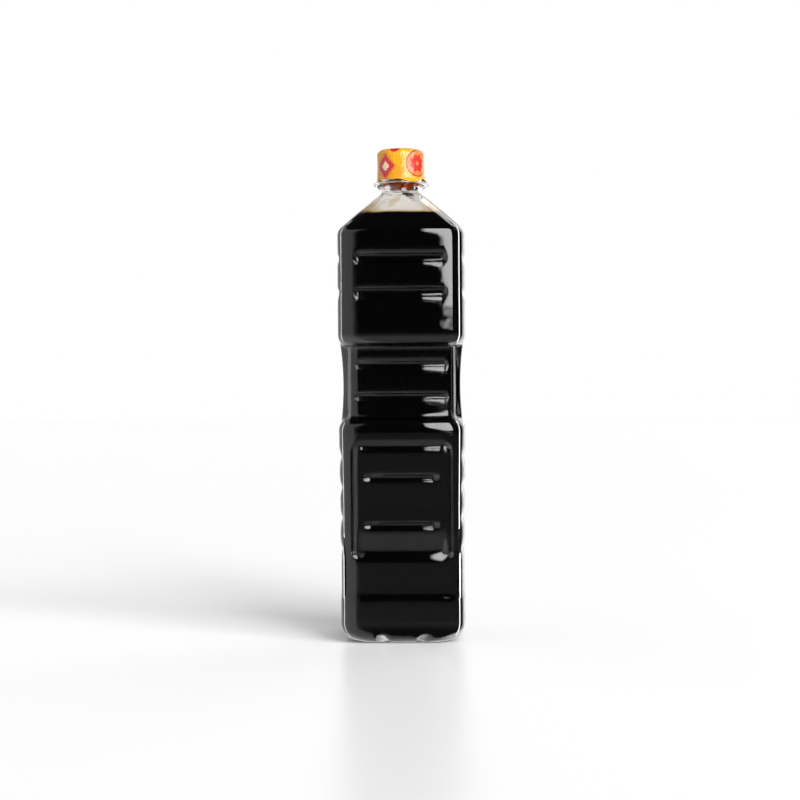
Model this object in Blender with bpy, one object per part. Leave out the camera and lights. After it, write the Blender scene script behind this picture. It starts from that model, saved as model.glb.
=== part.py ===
"""A tall square bottle of clear plastic, full of dark oil, with a film-wrapped screw cap.

The bottle stands on Z = 0 with its axis on Z and its front facing -Y. Every length is in
metres. The body is a loft of rounded square sections. One outline, drawn at the middle of a
face, gives their half width at each height, and the grooves, panels, side ribs and feet are
pressed into that loft by functions of where a point lies on its face.
"""

import math

import bpy
import numpy as np

# Overall form, from the top down
HEIGHT = 0.3065
CAP_RADIUS = 0.0151
CAP_BOTTOM = 0.2870
CAP_EDGE_RADIUS = 0.0036
CAP_WALL = 0.0016
CAP_TOP_WALL = 0.0022
CAP_MIDDLE_RADIUS = 0.0060
GAP = 0.0003

NECK_RADIUS = 0.0126
BORE_RADIUS = 0.0116
THREAD_RADIUS = CAP_RADIUS - CAP_WALL - GAP
MOUTH_HEIGHT = HEIGHT - CAP_TOP_WALL - GAP
RING_RADIUS = 0.0175
RING_FOOT = 0.2808
RING_EDGE = 0.2842
RING_EDGE_HEIGHT = 0.0010
RING_TOP = 0.2867
RING_TOP_RADIUS = 0.0148

# Square body: half widths at the middle of a face, and the heights where its outline turns
UPPER_HALF = 0.0397
WAIST_HALF = 0.0335
LOWER_TOP_HALF = 0.0395
LOWER_HALF = 0.0388
LOWER_TAPER_END = 0.0850
CORNER_RADIUS = 0.0102
WAIST_CORNER_RADIUS = 0.0065
CORNER_BLEND = 0.0040
SHOULDER_TOP = 0.2795
SHOULDER_ROWS = (0.2732, 0.2690, 0.2612, 0.2575)
SHOULDER_FOOT = 0.2535
WAIST_TOP = 0.1848
WAIST_TOP_INNER = 0.1818
WAIST_BOTTOM_INNER = 0.1393
WAIST_BOTTOM = 0.1355
BASE_RADIUS = 0.0125
NECK_FILLET = 0.0030
SHOULDER_FILLET = 0.0070
LEDGE_FILLET = 0.0075
LEDGE_INNER_FILLET = 0.0020
WAIST_INNER_FILLET = 0.0040
BLOCK_FILLET = 0.0090
FOOT_INNER_HALF = 0.0190
PUSH_UP_HALF = 0.0110
PUSH_UP = 0.0060
PUSH_UP_CENTRE = 0.0070

# Every face falls away a little from its middle: where that starts, and how far it has fallen
# where the corner starts
CROWN_START = 0.0100
CROWN_DEPTH = 0.00075

# Long grooves across the faces: centre heights, then the size that each pair shares
GROOVE_HALF_LENGTH = 0.0288
SIDE_GROOVE_HALF_LENGTH = 0.0335
UPPER_GROOVES = (0.2362, 0.2151)
UPPER_GROOVE_HEIGHT = 0.0068
UPPER_GROOVE_DEPTH = 0.0020
UPPER_GROOVE_FLOOR = 1.9
WAIST_GROOVES = (0.1712, 0.1515)
WAIST_GROOVE_HEIGHT = 0.0052
WAIST_GROOVE_DEPTH = 0.0014

# A groove's depth is full where its floor factor times the way in from its edge reaches its
# middle. This is the factor of the waist's and the panel's grooves.
GROOVE_FLOOR = 1.35

# Lower front and back: a panel inside a channel, with two short grooves across it. The
# channel's outer wall is steep at the sides and gentle at the ends, and the panel's lowest
# part leans back to the channel's floor.
PANEL_TOP = 0.1252
PANEL_BOTTOM = 0.0499
PANEL_HALF_WIDTH = 0.0312
PANEL_CORNER = 0.0075
CHANNEL_SIDE_WALL = 0.0010
CHANNEL_TOP_WALL = 0.0043
CHANNEL_FOOT_WALL = 0.0074
CHANNEL_INNER_WALL = 0.0023
CHANNEL_DEPTH = 0.0012
LEAN_TOP = 0.0700
LEAN_HALF_WIDTH = 0.0285
LEAN_EDGE = 0.0040
PANEL_GROOVES = (0.1018, 0.0728)
PANEL_GROOVE_HALF_LENGTH = 0.0226
PANEL_GROOVE_HEIGHT = 0.0050
PANEL_GROOVE_DEPTH = 0.0013

# Lower sides: a stack of bulging ribs between notches
TOP_NOTCH = 0.1146
RIB_PITCH = 0.0188
NOTCH_COUNT = 4
RIB_DEPTH = 0.0015
RIB_HALF_LENGTH = 0.0350
RIB_FADE = 0.0050

# Waist sides: an upright grip that stands out between the two blocks
GRIP_HALF_WIDTH = 0.0205
GRIP_BLEND = 0.0050
GRIP_MIDDLE = 0.1580
GRIP_WAIST_HALF = 0.0365
GRIP_END_HALF = 0.0377
GRIP_REACH = 0.0215
GRIP_OVERRUN = 0.0030

# Feet: notches cut up into the bottom edge, at one distance each side of every face's middle
NOTCH_OFFSET = 0.0143
NOTCH_HALF_WIDTH = 0.0042
NOTCH_HEIGHT = 0.0060

# Above its base the body is set in a little all round. At the top it goes in between two
# heights on the sides, and along the leaning part of the panel on the front and back. At the
# foot it comes out between two heights.
INSET_TOP = 0.0575
INSET_TOP_INNER = 0.0520
INSET_FOOT_INNER = 0.0335
INSET_FOOT = 0.0238
INSET_DEPTH = 0.0005

# Wall and filling: the wall is set in from the outline past the deepest groove, and thins
# to the neck's own wall over the shoulder
WALL_AT_RELIEF = 0.0033
WALL_BLEND = 0.0120
OIL_LEVEL = 0.2650
FLOOR_WALL = 0.0015
INNER_FOOT_EASE = 0.0040

# The loft's columns, as angles from a face's middle to its corner in degrees, the steps of
# each arc in the outline, and the least distance between two rows
COLUMN_ANGLES = (0.0, 12.0, 20.4, 26.0, 32.0, 38.0, 41.5, 45.0)
ARC_STEPS = 3
ROW_GAP = 0.0009
SHARP_ANGLE = 38.0
CAP_ARC_STEPS = 4
CAP_FOOT_CHAMFER = 0.0005


def clear_scene():
    """Take every object out of the scene."""
    for thing in list(bpy.data.objects):
        bpy.data.objects.remove(thing, do_unlink=True)


def smooth_step(value):
    """Rise from 0 to 1 as value goes from 0 to 1, level at both ends."""
    bounded = min(max(value, 0.0), 1.0)
    return bounded * bounded * (3.0 - 2.0 * bounded)


def rounded_outline(corners, steps=ARC_STEPS):
    """Points (half width, height) along a bent line whose corners are rounded by arcs.

    Each corner is (half width, height, radius), and a radius of zero leaves it sharp.
    """
    points = []
    for index, (half, height, radius) in enumerate(corners):
        here = np.array((half, height))
        if radius == 0.0:
            points.append(here)
            continue
        before = np.array(corners[index - 1][:2]) - here
        after = np.array(corners[index + 1][:2]) - here
        before /= np.linalg.norm(before)
        after /= np.linalg.norm(after)
        between = math.acos(float(np.clip(before @ after, -1.0, 1.0)))
        reach = radius / math.tan(between / 2.0)
        middle = (before + after) / np.linalg.norm(before + after)
        centre = here + middle * radius / math.sin(between / 2.0)
        start = here + before * reach - centre
        turn = math.pi - between
        sense = 1.0 if before[0] * after[1] - before[1] * after[0] < 0.0 else -1.0
        for step in range(steps + 1):
            angle = sense * turn * step / steps
            cosine = math.cos(angle)
            sine = math.sin(angle)
            arm = np.array((start[0] * cosine - start[1] * sine, start[0] * sine + start[1] * cosine))
            points.append(centre + arm)
    return points


def body_outline():
    """Half width against height at a face's middle, from under the neck ring to the foot."""
    return rounded_outline((
        (NECK_RADIUS, RING_FOOT, 0.0),
        (NECK_RADIUS, SHOULDER_TOP, NECK_FILLET),
        (UPPER_HALF, SHOULDER_FOOT, SHOULDER_FILLET),
        (UPPER_HALF, WAIST_TOP, LEDGE_FILLET),
        (WAIST_HALF, WAIST_TOP_INNER, LEDGE_INNER_FILLET),
        (WAIST_HALF, WAIST_BOTTOM_INNER, WAIST_INNER_FILLET),
        (LOWER_TOP_HALF, WAIST_BOTTOM, BLOCK_FILLET),
        (LOWER_HALF, LOWER_TAPER_END, 0.0),
        (LOWER_HALF, 0.0, BASE_RADIUS),
        (FOOT_INNER_HALF, 0.0, 0.0),
    ))


def grip_half_width(height):
    """Half width of the side grip at a height: a parabola, drawn in at the waist's middle."""
    share = (height - GRIP_MIDDLE) / GRIP_REACH
    return GRIP_WAIST_HALF + (GRIP_END_HALF - GRIP_WAIST_HALF) * share * share


def groove_profile(offset, height, floor):
    """Depth share of a groove, 1 along its floor and 0 at its edges, at an offset across it."""
    return smooth_step(floor * (1.0 - abs(offset) / (height / 2.0)))


def groove_share(along, up, half_length, height, floor=GROOVE_FLOOR):
    """Depth share of a round-ended groove at a place along its face and a distance up from it."""
    past_end = max(abs(along) - (half_length - height / 2.0), 0.0)
    return groove_profile(math.hypot(past_end, up), height, floor)


def panel_depth(along, height):
    """How deep the lower panel's channel and its grooves lie at a place on the front or back."""
    centre = (PANEL_TOP + PANEL_BOTTOM) / 2.0
    past_side = abs(along) - (PANEL_HALF_WIDTH - PANEL_CORNER)
    past_end = abs(height - centre) - ((PANEL_TOP - PANEL_BOTTOM) / 2.0 - PANEL_CORNER)
    beyond = math.hypot(max(past_side, 0.0), max(past_end, 0.0))
    within = PANEL_CORNER - beyond - min(max(past_side, past_end), 0.0)
    endward = (max(past_end, 0.0) / beyond) ** 2 if beyond > 0.0 else 0.0
    end_wall = CHANNEL_TOP_WALL if height > centre else CHANNEL_FOOT_WALL
    wall = CHANNEL_SIDE_WALL + (end_wall - CHANNEL_SIDE_WALL) * endward
    channel = smooth_step(within / wall) * (1.0 - smooth_step((within - wall) / CHANNEL_INNER_WALL))
    lean = lean_share(along, height) * smooth_step(within / wall)
    across = max(
        groove_share(along, height - level, PANEL_GROOVE_HALF_LENGTH, PANEL_GROOVE_HEIGHT)
        for level in PANEL_GROOVES
    )
    return max(channel * CHANNEL_DEPTH, lean * CHANNEL_DEPTH, across * PANEL_GROOVE_DEPTH)


def lean_share(along, height):
    """How far the panel's lowest part has leant back, from 0 at its top to 1 at its foot."""
    foot = PANEL_BOTTOM + CHANNEL_FOOT_WALL
    fall = min(max((LEAN_TOP - height) / (LEAN_TOP - foot), 0.0), 1.0)
    return fall * smooth_step((LEAN_HALF_WIDTH - abs(along)) / LEAN_EDGE)


def rib_depth(along, height):
    """How far the lower side face lies back between its ribs: nothing at a rib's crown."""
    nearest = min(abs(height - (TOP_NOTCH - RIB_PITCH * index)) for index in range(NOTCH_COUNT))
    from_crown = max(1.0 - nearest / (RIB_PITCH / 2.0), 0.0)
    fade = smooth_step((RIB_HALF_LENGTH - abs(along)) / RIB_FADE)
    return RIB_DEPTH * from_crown ** 3 * fade


def side_push(along, height, half):
    """How far a side face's point moves out (more than zero) or in at a place on it."""
    push = -rib_depth(along, height)
    if WAIST_BOTTOM - GRIP_OVERRUN < height < WAIST_TOP + GRIP_OVERRUN:
        edge = (GRIP_HALF_WIDTH + GRIP_BLEND - abs(along)) / GRIP_BLEND
        push += max(grip_half_width(height) - half, 0.0) * smooth_step(edge)
    return push


def front_push(along, height):
    """How far a front or back face's point moves out (never above zero) at a place on it."""
    waist = max(
        groove_share(along, height - level, GROOVE_HALF_LENGTH, WAIST_GROOVE_HEIGHT)
        for level in WAIST_GROOVES
    )
    return -waist * WAIST_GROOVE_DEPTH - panel_depth(along, height)


def foot_lift(along, across, height):
    """How far up a point of the bottom moves at the notches between the feet."""
    if height > NOTCH_HEIGHT or across < FOOT_INNER_HALF - ROW_GAP:
        return 0.0
    offset = abs(abs(along / across) * LOWER_HALF - NOTCH_OFFSET)
    share = smooth_step(1.0 - offset / NOTCH_HALF_WIDTH)
    return share * (NOTCH_HEIGHT - height)


def section_radius(angle, half, corner):
    """Distance from the axis to a rounded square's edge, in a direction within 45 degrees."""
    cosine = math.cos(angle)
    sine = abs(math.sin(angle))
    flat = half - corner
    reach = half / cosine
    if sine * reach <= flat:
        return reach
    along = (cosine + sine) * flat
    return along + math.sqrt(max(along * along - 2.0 * flat * flat + corner * corner, 0.0))


def corner_radius(half, height):
    """Corner radius of the section: round at the neck and the foot, tighter at the waist."""
    below_block = smooth_step((WAIST_TOP - height) / CORNER_BLEND)
    above_block = smooth_step((height - WAIST_BOTTOM) / CORNER_BLEND)
    to_neck = smooth_step((height - SHOULDER_FOOT) / (SHOULDER_TOP - SHOULDER_FOOT))
    corner = CORNER_RADIUS + (WAIST_CORNER_RADIUS - CORNER_RADIUS) * below_block * above_block
    corner += (NECK_RADIUS - CORNER_RADIUS) * to_neck
    if height < BASE_RADIUS:
        corner += (half - corner) * (1.0 - half / LOWER_HALF)
    return min(corner, half)


def columns():
    """Every column's face number, 0 to 3 from the right side round, and angle on that face."""
    within = [-angle for angle in reversed(COLUMN_ANGLES[1:])] + list(COLUMN_ANGLES[:-1])
    return [(face, math.radians(angle)) for face in range(4) for angle in within]


def ring(half, height, pressed=False):
    """One section of the body as points, with the outside's relief where pressed is set."""
    points = []
    corner = corner_radius(half, height)
    for face, angle in columns():
        reach = section_radius(angle, half, corner)
        out = reach * math.cos(angle)
        along = reach * math.sin(angle)
        up = height
        if pressed:
            out, up = press(face, out, along, height, half)
        turn = face * math.pi / 2.0
        x = out * math.cos(turn) - along * math.sin(turn)
        y = out * math.sin(turn) + along * math.cos(turn)
        points.append((x, y, up))
    return points


def crown_fall(along, height):
    """How far a face has fallen away from its middle: nothing up at the neck."""
    past = max(abs(along) - CROWN_START, 0.0) / (UPPER_HALF - CORNER_RADIUS - CROWN_START)
    on_body = smooth_step((SHOULDER_TOP - height) / (SHOULDER_TOP - SHOULDER_FOOT))
    return CROWN_DEPTH * past * past * on_body


def inset_depth(face, height):
    """How far a face is set in above the base at a height."""
    top = INSET_TOP if face % 2 == 0 else LEAN_TOP
    top_inner = INSET_TOP_INNER if face % 2 == 0 else PANEL_BOTTOM + CHANNEL_FOOT_WALL
    from_top = smooth_step((top - height) / (top - top_inner))
    from_foot = smooth_step((height - INSET_FOOT) / (INSET_FOOT_INNER - INSET_FOOT))
    return INSET_DEPTH * from_top * from_foot


def press(face, out, along, height, half):
    """Move a point of the plain body to the pressed surface: how far out and up it ends."""
    half_length = SIDE_GROOVE_HALF_LENGTH if face % 2 == 0 else GROOVE_HALF_LENGTH
    upper = max(
        groove_share(along, height - level, half_length, UPPER_GROOVE_HEIGHT, UPPER_GROOVE_FLOOR)
        for level in UPPER_GROOVES
    )
    moved = out - upper * UPPER_GROOVE_DEPTH - inset_depth(face, height) - crown_fall(along, height)
    if face % 2 == 0:
        moved += side_push(along, height, half)
    else:
        moved += front_push(along, height)
    return moved, height + foot_lift(along, out, height)


def circle(radius, height):
    """One round section as points, on the same columns as the body's."""
    turns = [face * math.pi / 2.0 + angle for face, angle in columns()]
    return [(radius * math.cos(turn), radius * math.sin(turn), height) for turn in turns]


def groove_heights(level, height, floor=GROOVE_FLOOR):
    """Heights of the rows that draw one groove: its two edges and the sides of its floor."""
    edge = height / 2.0
    inner = edge * (1.0 - 1.0 / floor)
    return [level + edge, level + inner, level - inner, level - edge]


def relief_heights():
    """Every height at which the pressed outside needs a row of its own."""
    heights = [OIL_LEVEL, *SHOULDER_ROWS]
    for level in UPPER_GROOVES:
        heights += groove_heights(level, UPPER_GROOVE_HEIGHT, UPPER_GROOVE_FLOOR)
    for level in WAIST_GROOVES:
        heights += groove_heights(level, WAIST_GROOVE_HEIGHT)
    for level in PANEL_GROOVES:
        heights += groove_heights(level, PANEL_GROOVE_HEIGHT)
    channel_floor = PANEL_TOP - CHANNEL_TOP_WALL
    heights += [PANEL_TOP, channel_floor, channel_floor - CHANNEL_INNER_WALL]
    heights += [PANEL_BOTTOM, PANEL_BOTTOM + CHANNEL_FOOT_WALL, LEAN_TOP]
    heights += [TOP_NOTCH - RIB_PITCH * index for index in range(NOTCH_COUNT)]
    heights += [TOP_NOTCH - RIB_PITCH * (index - 0.5) for index in range(NOTCH_COUNT + 1)]
    heights += [GRIP_MIDDLE, INSET_TOP, INSET_TOP_INNER, INSET_FOOT_INNER, INSET_FOOT]
    return heights


def outline_half(height):
    """Half width of the outline at a height above the base's rounding."""
    upright = [point for point in reversed(body_outline()) if point[1] > BASE_RADIUS - ROW_GAP]
    return float(np.interp(height, [point[1] for point in upright], [point[0] for point in upright]))


def outer_stations():
    """The outside's rows from the foot up, each a half width and a height."""
    rows = [tuple(point) for point in reversed(body_outline())]
    for height in relief_heights():
        if min(abs(height - row[1]) for row in rows) > ROW_GAP:
            rows.append((outline_half(height), height))
    rising = [row for row in rows if row[1] > 0.0]
    return [row for row in rows if row[1] <= 0.0] + sorted(rising, key=lambda row: row[1])


def inner_stations(inset, floor, top):
    """A plain inside's rows from its floor up to a height, set in from the outline."""
    neck_inset = inset - WALL_AT_RELIEF + NECK_RADIUS - BORE_RADIUS
    foot = NOTCH_HEIGHT + floor
    rows = [
        (PUSH_UP_HALF, PUSH_UP + floor),
        (FOOT_INNER_HALF, foot),
        (LOWER_HALF - inset - INNER_FOOT_EASE, foot),
        (LOWER_HALF - inset - INNER_FOOT_EASE / 2.0, (foot + BASE_RADIUS) / 2.0),
    ]
    heights = sorted([point[1] for point in body_outline()] + [OIL_LEVEL, *SHOULDER_ROWS])
    for height in heights:
        if BASE_RADIUS - ROW_GAP < height <= top:
            to_neck = smooth_step((height - SHOULDER_FOOT) / WALL_BLEND)
            rows.append((outline_half(height) - inset - (neck_inset - inset) * to_neck, height))
    return rows


def solid(name, rings, start, end, finish):
    """Make one closed body from rings of points and the two poles that close its ends."""
    count = len(rings[0])
    vertices = [start]
    for points in rings:
        vertices += points
    vertices.append(end)
    faces = []
    for column in range(count):
        beside = (column + 1) % count
        faces.append((0, 1 + beside, 1 + column))
        for row in range(len(rings) - 1):
            low = 1 + row * count
            high = low + count
            faces.append((low + column, low + beside, high + beside, high + column))
        last = 1 + (len(rings) - 1) * count
        faces.append((last + column, last + beside, len(vertices) - 1))
    mesh = bpy.data.meshes.new(name)
    mesh.from_pydata(vertices, [], faces)
    mesh.validate()
    mesh.shade_smooth()
    mesh.set_sharp_from_angle(angle=math.radians(SHARP_ANGLE))
    mesh.materials.append(finish)
    made = bpy.data.objects.new(name, mesh)
    bpy.context.scene.collection.objects.link(made)
    return made


def material(name, colour, roughness, transmission=0.0, ior=1.5):
    """A Principled material of one colour."""
    made = bpy.data.materials.new(name)
    made.use_nodes = True
    shader = made.node_tree.nodes["Principled BSDF"]
    shader.inputs["Base Color"].default_value = (*colour, 1.0)
    shader.inputs["Metallic"].default_value = 0.0
    shader.inputs["Roughness"].default_value = roughness
    shader.inputs["Transmission Weight"].default_value = transmission
    shader.inputs["IOR"].default_value = ior
    return made


def make_bottle():
    """The clear shell: foot, body, neck ring and threaded mouth outside, plain wall inside."""
    rings = [ring(PUSH_UP_HALF, PUSH_UP)]
    rings += [ring(half, height, pressed=True) for half, height in outer_stations()]
    rings += [
        circle(RING_RADIUS, RING_EDGE),
        circle(RING_RADIUS, RING_EDGE + RING_EDGE_HEIGHT),
        circle(RING_TOP_RADIUS, RING_TOP),
        circle(THREAD_RADIUS, RING_TOP),
        circle(THREAD_RADIUS, MOUTH_HEIGHT),
        circle(BORE_RADIUS, MOUTH_HEIGHT),
        circle(BORE_RADIUS, RING_FOOT),
    ]
    inside = inner_stations(WALL_AT_RELIEF, FLOOR_WALL, RING_FOOT - ROW_GAP)
    rings += [ring(half, height) for half, height in reversed(inside)]
    clear = material("clear_plastic", (0.93, 0.95, 0.94), 0.04, transmission=1.0, ior=1.57)
    floor = (0.0, 0.0, PUSH_UP_CENTRE + FLOOR_WALL)
    return solid("bottle", rings, (0.0, 0.0, PUSH_UP_CENTRE), floor, clear)


def make_oil():
    """The oil, up to its level, a hair's breadth inside the wall."""
    stations = inner_stations(WALL_AT_RELIEF + GAP, FLOOR_WALL + GAP, OIL_LEVEL)
    rings = [ring(half, height) for half, height in stations]
    dark = material("dark_oil", (0.020, 0.008, 0.003), 0.05, ior=1.47)
    bottom = (0.0, 0.0, PUSH_UP_CENTRE + FLOOR_WALL + GAP)
    return solid("oil", rings, bottom, (0.0, 0.0, OIL_LEVEL), dark)


def make_cap():
    """The screw cap in its yellow film: a round-edged cup over the threaded mouth."""
    shoulder = CAP_RADIUS - CAP_EDGE_RADIUS
    rings = [circle(CAP_MIDDLE_RADIUS, HEIGHT)]
    for step in range(CAP_ARC_STEPS + 1):
        angle = math.pi / 2.0 * step / CAP_ARC_STEPS
        radius = shoulder + CAP_EDGE_RADIUS * math.sin(angle)
        rings.append(circle(radius, HEIGHT - CAP_EDGE_RADIUS * (1.0 - math.cos(angle))))
    inner = CAP_RADIUS - CAP_WALL
    rings += [
        circle(CAP_RADIUS, CAP_BOTTOM + CAP_FOOT_CHAMFER),
        circle(CAP_RADIUS - CAP_FOOT_CHAMFER, CAP_BOTTOM),
        circle(inner, CAP_BOTTOM),
        circle(inner, HEIGHT - CAP_TOP_WALL),
    ]
    rings.reverse()
    yellow = material("printed_film", (0.86, 0.50, 0.03), 0.30)
    return solid("cap", rings, (0.0, 0.0, HEIGHT - CAP_TOP_WALL), (0.0, 0.0, HEIGHT), yellow)


def main():
    """Build the bottle, its oil and its cap."""
    clear_scene()
    make_bottle()
    make_oil()
    make_cap()


main()
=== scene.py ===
"""Looks of a tall square bottle of dark oil: fine moulded shell, oil, film-wrapped cap, studio.

The bottle stands on Z = 0 with its front facing -Y. Lengths are in metres, and angles in
degrees unless a name says otherwise. Every shape is a grid of points worked out with numpy.
"""

import logging
import math
from dataclasses import dataclass, field
from enum import Enum

import bpy
import numpy as np
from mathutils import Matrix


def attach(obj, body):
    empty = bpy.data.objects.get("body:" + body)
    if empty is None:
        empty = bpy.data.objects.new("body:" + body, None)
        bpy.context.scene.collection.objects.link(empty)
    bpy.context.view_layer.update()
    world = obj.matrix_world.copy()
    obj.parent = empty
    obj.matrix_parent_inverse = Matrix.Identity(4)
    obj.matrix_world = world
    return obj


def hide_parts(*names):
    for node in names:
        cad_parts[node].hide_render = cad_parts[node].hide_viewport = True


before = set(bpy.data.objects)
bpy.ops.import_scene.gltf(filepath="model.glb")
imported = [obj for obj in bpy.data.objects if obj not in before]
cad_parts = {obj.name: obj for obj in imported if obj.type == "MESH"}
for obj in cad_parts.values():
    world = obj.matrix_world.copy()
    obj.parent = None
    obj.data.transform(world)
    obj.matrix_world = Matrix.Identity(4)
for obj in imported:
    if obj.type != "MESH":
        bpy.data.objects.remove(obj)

LOG = logging.getLogger("bottle")
BODY = "root"
Colour = tuple[float, float, float]


class Slot(Enum):
    """The record's material slots, by what the pieces are made of."""

    CLEAR = "clear_plastic"
    OIL = "dark_oil"
    FILM = "printed_film"


class Wall(Enum):
    """What one face of the bottle's mesh is: open to air on its inside, or wetted by oil."""

    DRY = 0
    WET = 1


# Plain shaping functions, each on whole arrays


def smooth_step(value: np.ndarray) -> np.ndarray:
    """Rise from 0 to 1 as value goes from 0 to 1, level at both ends: t * t * (3 - 2 t).

    Args:
        value: any array; below 0 counts as 0 and above 1 as 1.

    Returns:
        An array of the same shape.
    """
    bounded = np.clip(value, 0.0, 1.0)
    return bounded * bounded * (3.0 - 2.0 * bounded)


def rounded_line(corners: tuple, pitch: float, arc_steps: int) -> np.ndarray:
    """Points along a bent line whose corners are rounded by arcs tangent to both sides.

    Each arc's centre lies on the corner's bisector at radius / sin(half the angle), and the
    arc turns through the supplement of that angle. Straight runs are then cut into even steps.

    Args:
        corners: (across, height, radius) for each corner; a radius of zero leaves it sharp.
        pitch: the longest straight step.
        arc_steps: steps in each arc.

    Returns:
        An array of (across, height) rows.
    """
    points = []
    for index, (across, height, radius) in enumerate(corners):
        here = np.array((across, height))
        if radius == 0.0:
            points.append(here)
            continue
        before = np.array(corners[index - 1][:2]) - here
        after = np.array(corners[index + 1][:2]) - here
        before /= np.linalg.norm(before)
        after /= np.linalg.norm(after)
        between = math.acos(float(np.clip(before @ after, -1.0, 1.0)))
        middle = (before + after) / np.linalg.norm(before + after)
        centre = here + middle * radius / math.sin(between / 2.0)
        start = here + before * radius / math.tan(between / 2.0) - centre
        sense = 1.0 if before[0] * after[1] - before[1] * after[0] < 0.0 else -1.0
        for angle in np.linspace(0.0, sense * (math.pi - between), arc_steps + 1):
            turned = (
                start[0] * math.cos(angle) - start[1] * math.sin(angle),
                start[0] * math.sin(angle) + start[1] * math.cos(angle),
            )
            points.append(centre + np.array(turned))
    stretches = []
    for first, last in zip(points[:-1], points[1:]):
        steps = max(int(math.ceil(np.linalg.norm(last - first) / pitch)), 1)
        shares = np.arange(steps)[:, None] / steps
        stretches.append(first + (last - first) * shares)
    return np.vstack(stretches + [points[-1][None, :]])


def waves(first: np.ndarray, second: np.ndarray, length: float, seed: int, count: int = 7) -> np.ndarray:
    """Gentle unevenness between about -1 and 1: a mean of plane waves in seeded directions.

    Args:
        first: one coordinate, in metres.
        second: the other coordinate, in metres.
        length: the middling wavelength.
        seed: chooses the directions and phases.
        count: how many waves are summed.

    Returns:
        The sum of the waves over the square root of half their number.
    """
    draw = np.random.default_rng(seed)
    headings = draw.uniform(0.0, 2.0 * math.pi, count)
    lengths = length * draw.uniform(0.6, 1.7, count)
    phases = draw.uniform(0.0, 2.0 * math.pi, count)
    total = np.zeros(np.broadcast(first, second).shape)
    for heading, wave, phase in zip(headings, lengths, phases):
        run = first * math.cos(heading) + second * math.sin(heading)
        total = total + np.cos(2.0 * math.pi * run / wave + phase)
    return total / math.sqrt(count * 2.0)


# Meshes


def grid_quads(rows: int, columns: int, start: int = 0) -> np.ndarray:
    """Quads of a grid that closes round its columns, each facing out when rows rise.

    Args:
        rows: how many rings of points there are.
        columns: points in each ring.
        start: number of the first ring's first point.

    Returns:
        An array of four point numbers a quad.
    """
    low = (np.arange(rows - 1) * columns)[:, None] + np.arange(columns)[None, :] + start
    beside = (np.arange(rows - 1) * columns)[:, None] + (np.arange(columns) + 1)[None, :] % columns + start
    return np.stack((low, beside, beside + columns, low + columns), axis=-1).reshape(-1, 4)


def closed_surface(name: str, rings: np.ndarray, start: np.ndarray, end: np.ndarray) -> bpy.types.Object:
    """Make one closed mesh from rings of points and the two poles that close its ends.

    Args:
        name: the object's name.
        rings: points as (row, column, xyz), the rows running so that the quads face out.
        start: the pole before the first row.
        end: the pole after the last row.

    Returns:
        The object, smooth shaded, at the origin and linked to the scene.
    """
    rows, columns = rings.shape[:2]
    points = np.vstack((start[None, :], rings.reshape(-1, 3), end[None, :]))
    quads = grid_quads(rows, columns, 1)
    here = np.arange(columns)
    beside = (here + 1) % columns
    first = np.stack((np.zeros(columns, int), beside + 1, here + 1), axis=-1)
    last_row = 1 + (rows - 1) * columns
    last = np.stack((here + last_row, beside + last_row, np.full(columns, len(points) - 1)), axis=-1)
    mesh = bpy.data.meshes.new(name)
    mesh.from_pydata(points.tolist(), [], first.tolist() + quads.tolist() + last.tolist())
    mesh.shade_smooth()
    mesh.update()
    made = bpy.data.objects.new(name, mesh)
    bpy.context.scene.collection.objects.link(made)
    return made


def unit(vectors: np.ndarray) -> np.ndarray:
    """Every vector divided by its own length."""
    return vectors / np.maximum(np.linalg.norm(vectors, axis=-1, keepdims=True), 1e-12)


def grid_normals(rings: np.ndarray) -> np.ndarray:
    """Unit normals of a grid closed round its columns: the cross product of its two slopes.

    The upward slope is the sum of the unit steps to and from the point, so that a long step
    next to a short one does not tilt it.

    Args:
        rings: points as (row, column, xyz).

    Returns:
        Normals of the same shape, pointing out of quads that face out.
    """
    around = np.roll(rings, -1, axis=1) - np.roll(rings, 1, axis=1)
    steps = unit(rings[1:] - rings[:-1])
    upward = np.concatenate((steps[:1], steps)) + np.concatenate((steps, steps[-1:]))
    return unit(np.cross(around, upward))


# Node trees


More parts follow.
